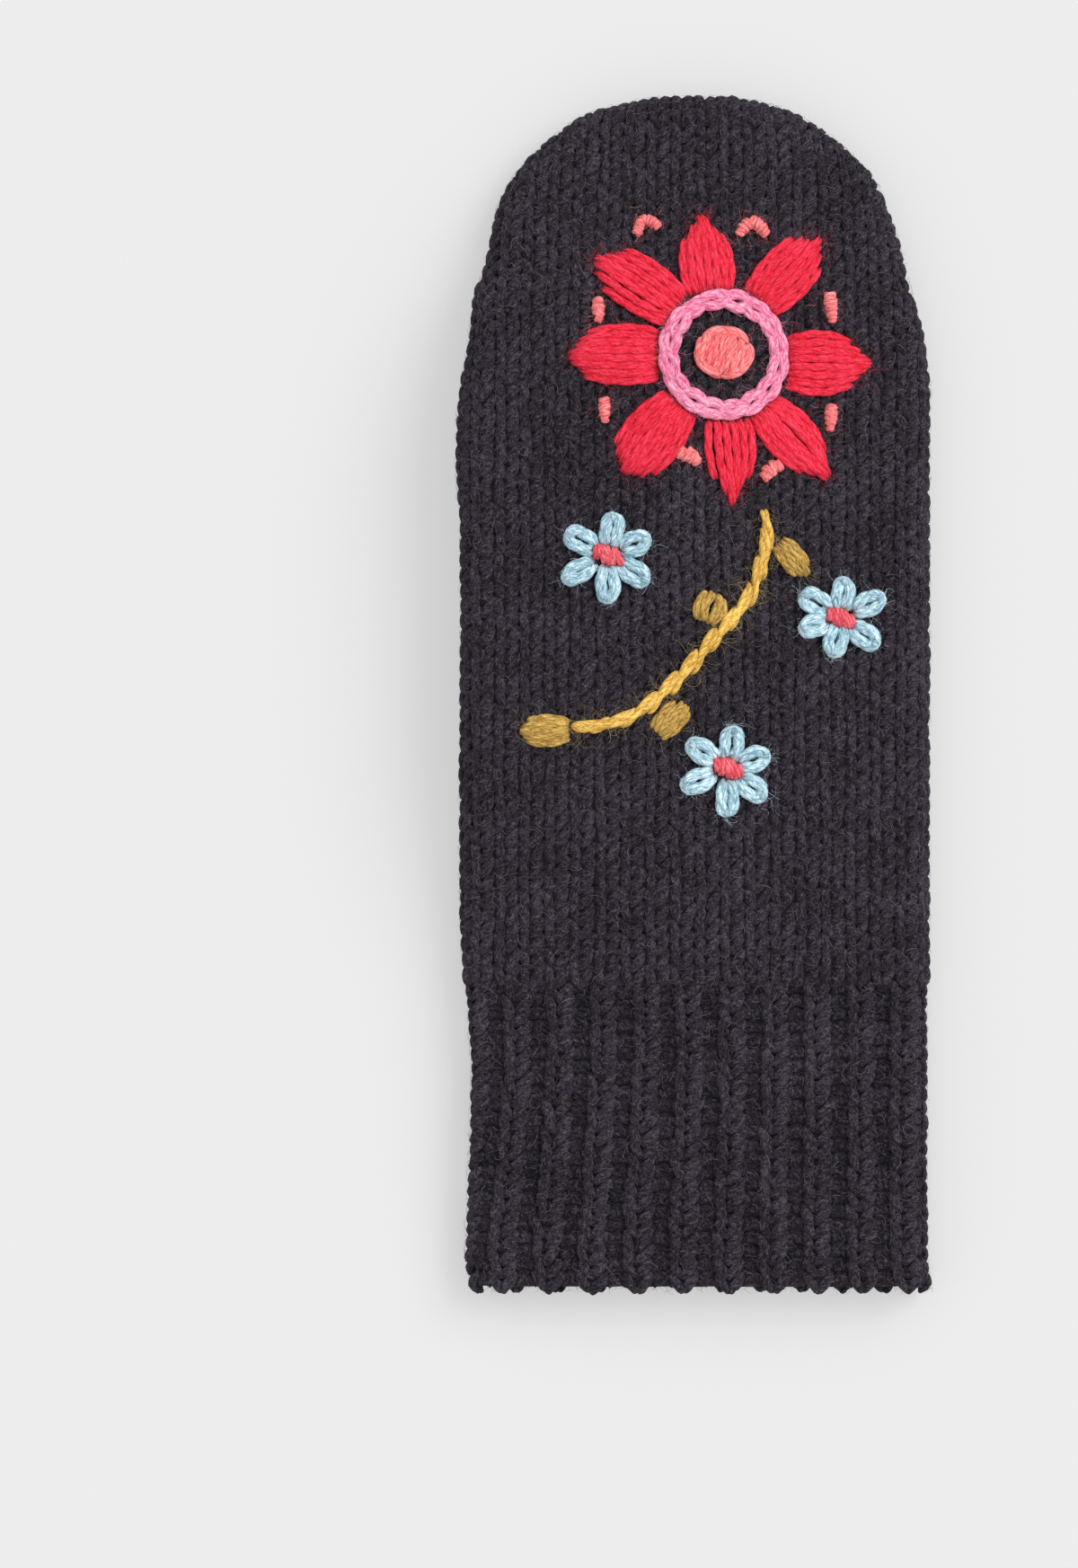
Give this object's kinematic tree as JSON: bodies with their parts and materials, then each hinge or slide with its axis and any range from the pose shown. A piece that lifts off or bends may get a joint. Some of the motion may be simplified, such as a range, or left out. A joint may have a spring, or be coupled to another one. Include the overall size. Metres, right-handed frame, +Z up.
{
  "type": "wool mitten",
  "caption": "Hand-knitted wool mitten with a ribbed cuff, a closed thumb folded under the palm and a wool-embroidered flower sprig on its back.",
  "frame": {"origin": "on the floor, under the middle of the mitten's outline", "axes": "+Y to the fingertips, +X away from the thumb's side, +Z up out of the back of the hand"},
  "size_m": [0.1057, 0.2646, 0.0239],
  "materials": {
    "charcoal_wool": "matte",
    "red_wool": "matte",
    "pink_wool": "matte",
    "coral_wool": "matte",
    "pale_blue_wool": "matte",
    "ochre_wool": "matte",
    "olive_ochre_wool": "matte"
  },
  "bodies": {
    "root": {"hand_back": "charcoal_wool", "palm": "charcoal_wool", "ribbed_cuff": "charcoal_wool", "thumb": "charcoal_wool", "flower_ring": "pink_wool", "flower_centre": "coral_wool", "petal_1": "red_wool", "petal_2": "red_wool", "petal_3": "red_wool", "petal_4": "red_wool", "petal_5": "red_wool", "petal_6": "red_wool", "petal_7": "red_wool", "petal_8": "red_wool", "accent_1": "coral_wool", "accent_2": "coral_wool", "accent_3": "coral_wool", "accent_4": "coral_wool", "accent_5": "coral_wool", "accent_6": "coral_wool", "accent_7": "coral_wool", "accent_8": "coral_wool", "small_flower_1": "pale_blue_wool", "small_flower_2": "pale_blue_wool", "small_flower_3": "pale_blue_wool", "small_knot_1": "coral_wool", "small_knot_2": "coral_wool", "small_knot_3": "coral_wool", "stem": "ochre_wool", "leaf_1": "olive_ochre_wool", "leaf_2": "olive_ochre_wool", "leaf_3": "olive_ochre_wool", "leaf_4": "olive_ochre_wool"}
  },
  "joints": []
}
